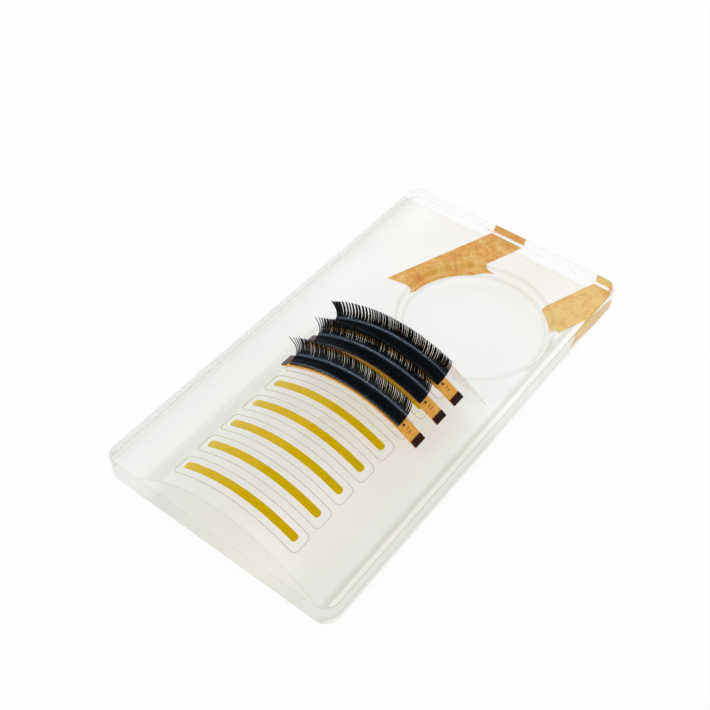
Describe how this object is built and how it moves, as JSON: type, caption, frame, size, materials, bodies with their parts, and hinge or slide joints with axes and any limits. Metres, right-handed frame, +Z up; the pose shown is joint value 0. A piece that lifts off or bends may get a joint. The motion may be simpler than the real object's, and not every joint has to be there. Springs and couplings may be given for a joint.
{
  "type": "lash extension holder",
  "caption": "Clear slab with a domed bed of printed guide rows, fringed lash strips that lift off it and a round glue well.",
  "frame": {"origin": "middle of the base in plan, on its underside", "axes": "+Z up, +Y from the domed bed towards the glue well, +X to the right of someone who faces +Y"},
  "size_m": [0.0694, 0.13, 0.0258],
  "materials": {
    "clear_acrylic": "clear polished acrylic",
    "gold_leaf": "mottled leaf",
    "guide_ink": "glossy printed ink",
    "line_ink": "printed ink",
    "foil_tape": "copper coloured foil",
    "end_tab": "matt",
    "lash_fibre": "satin fibre"
  },
  "bodies": {
    "holder": {"base_slab": "clear_acrylic", "lash_bed": "clear_acrylic", "gold_leaf_band_1": "gold_leaf", "gold_leaf_band_2": "gold_leaf", "guide_bar_1": "guide_ink", "guide_bar_2": "guide_ink", "guide_bar_3": "guide_ink", "guide_bar_4": "guide_ink", "guide_bar_5": "guide_ink", "guide_bar_6": "guide_ink", "guide_bar_7": "guide_ink", "guide_bar_8": "guide_ink", "guide_outline_1": "line_ink", "guide_outline_2": "line_ink", "guide_outline_3": "line_ink", "guide_outline_4": "line_ink", "guide_outline_5": "line_ink", "guide_outline_6": "line_ink", "guide_outline_7": "line_ink", "guide_outline_8": "line_ink"},
    "strip_1": {"strip_1_tape": "foil_tape", "strip_1_lashes": "lash_fibre", "strip_1_left_tab": "end_tab", "strip_1_right_tab": "end_tab"},
    "strip_2": {"strip_2_tape": "foil_tape", "strip_2_lashes": "lash_fibre", "strip_2_left_tab": "end_tab", "strip_2_right_tab": "end_tab"},
    "strip_3": {"strip_3_tape": "foil_tape", "strip_3_lashes": "lash_fibre", "strip_3_left_tab": "end_tab", "strip_3_right_tab": "end_tab"}
  },
  "joints": [
    {"name": "strip_1_lift", "type": "slide", "parent": "holder", "child": "strip_1", "axis": [0, 0, 1], "range_m": [0, 0.03]},
    {"name": "strip_2_lift", "type": "slide", "parent": "holder", "child": "strip_2", "axis": [0, 0, 1], "range_m": [0, 0.03]},
    {"name": "strip_3_lift", "type": "slide", "parent": "holder", "child": "strip_3", "axis": [0, 0, 1], "range_m": [0, 0.03]}
  ]
}
